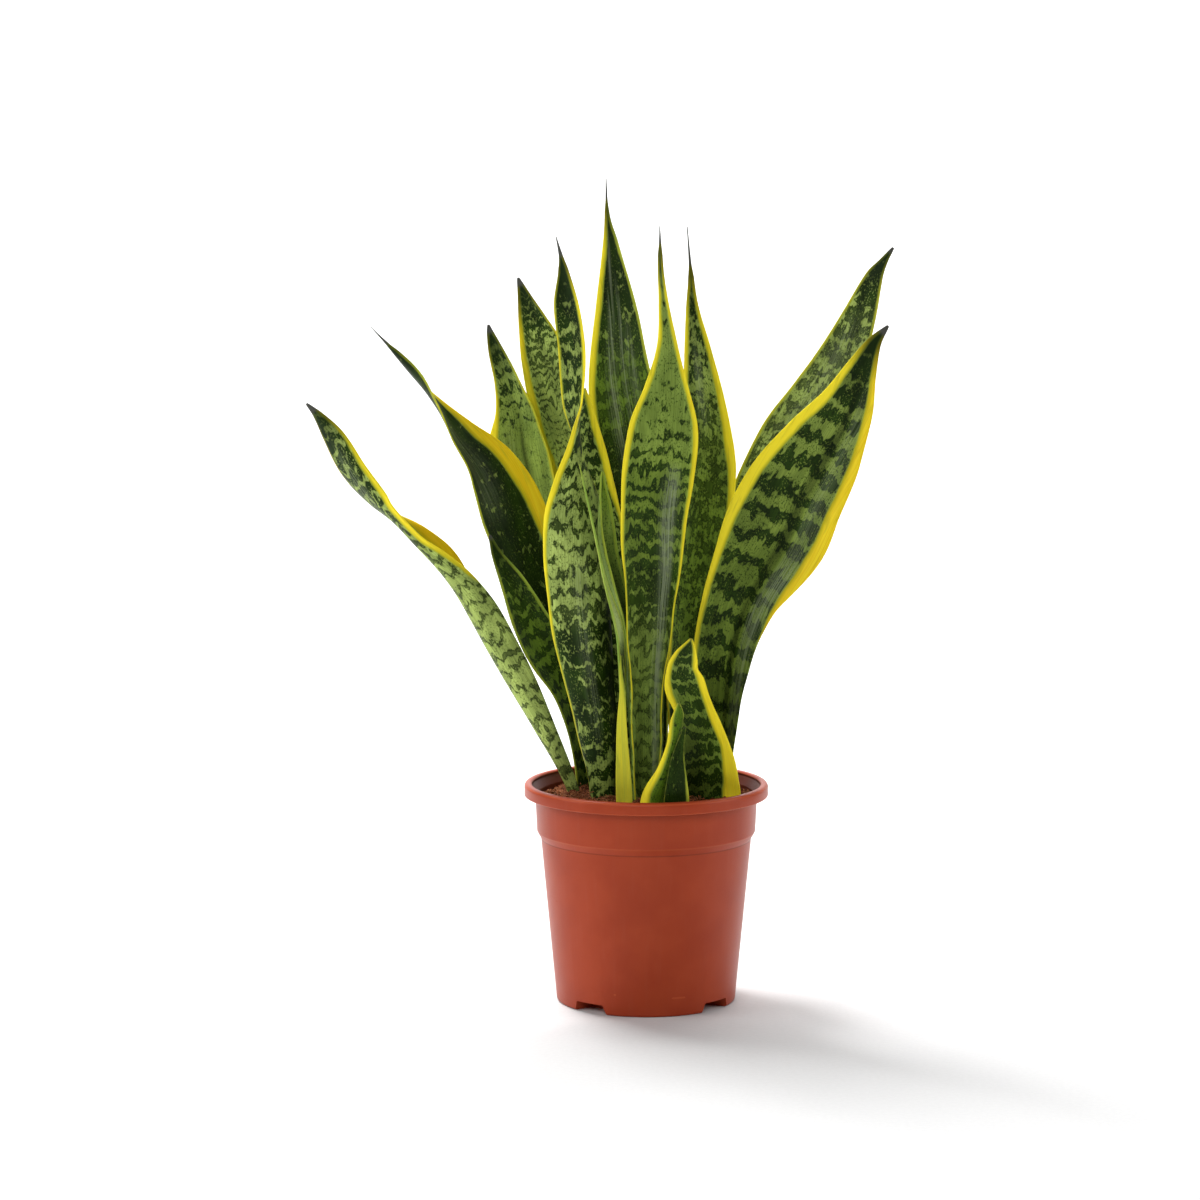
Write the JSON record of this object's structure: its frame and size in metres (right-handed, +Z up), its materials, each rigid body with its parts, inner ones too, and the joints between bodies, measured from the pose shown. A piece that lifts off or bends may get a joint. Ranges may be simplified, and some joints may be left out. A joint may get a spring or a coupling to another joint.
{
  "type": "potted snake plant",
  "caption": "Variegated snake plant with upright sword leaves edged in yellow, rooted in coir soil in a tapered terracotta-coloured plastic nursery pot with a rolled rim.",
  "frame": {"origin": "centre of the pot's flat underside, on the surface that it stands on", "axes": "+Z up along the pot's axis; -Y is the front, the side that the picture shows; +X to the viewer's right from the front"},
  "size_m": [0.4104, 0.1736, 0.571],
  "materials": {
    "pot_plastic": "injection-moulded terracotta-coloured plastic, satin, with a faint moulding grain",
    "coir_soil": "loose brown coir potting soil with crumbs and fibres, dull",
    "leaf_skin": "waxy succulent leaf, dark green with grey-green wavy cross bands and clear yellow margins, soft sheen"
  },
  "bodies": {
    "root": {"pot": "pot_plastic", "soil": "coir_soil", "leaf_far_left": "leaf_skin", "leaf_left_gold": "leaf_skin", "leaf_left_dark": "leaf_skin", "leaf_front_left": "leaf_skin", "leaf_front_centre": "leaf_skin", "leaf_centre_right": "leaf_skin", "leaf_back_left": "leaf_skin", "leaf_tallest": "leaf_skin", "leaf_right_big": "leaf_skin", "leaf_right_back": "leaf_skin", "leaf_back_small": "leaf_skin", "leaf_hidden_back": "leaf_skin", "leaf_front_right_small": "leaf_skin", "leaf_short_front": "leaf_skin", "leaf_young": "leaf_skin", "leaf_front_yellow": "leaf_skin", "leaf_sliver": "leaf_skin", "leaf_front_tiny": "leaf_skin"}
  },
  "joints": []
}
